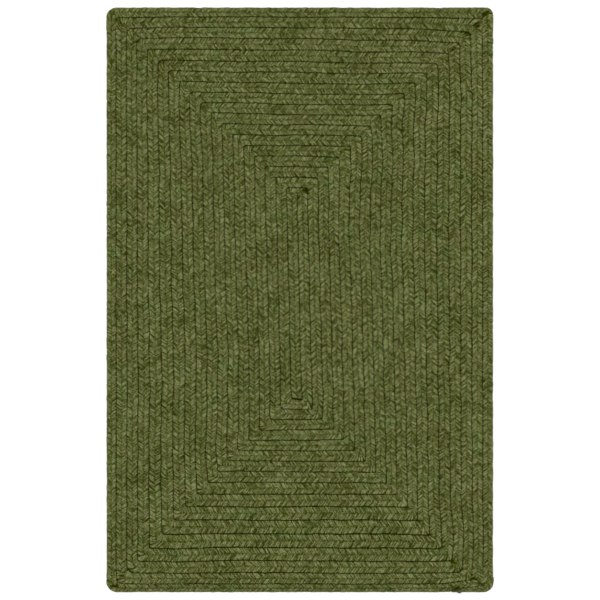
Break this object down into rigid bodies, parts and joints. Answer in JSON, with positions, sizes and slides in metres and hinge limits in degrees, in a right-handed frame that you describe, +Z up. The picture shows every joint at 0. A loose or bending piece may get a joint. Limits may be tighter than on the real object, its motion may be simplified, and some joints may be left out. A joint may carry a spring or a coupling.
{
  "type": "braided rug",
  "caption": "Flat rectangular rug with rounded corners: one continuous flat braid wound in a rectangular spiral and laced edge to edge.",
  "frame": {"origin": "centre of the underside, on the surface that the rug lies on", "axes": "+Y along the long side, +X along the short side, +Z up out of the upper face"},
  "size_m": [1.214, 1.837, 0.0095],
  "materials": {
    "braid_yarn": "heathered olive green spun yarn, matt and slightly fuzzy, braided in three strands"
  },
  "bodies": {
    "root": {"wound_braid": "braid_yarn"}
  },
  "joints": []
}
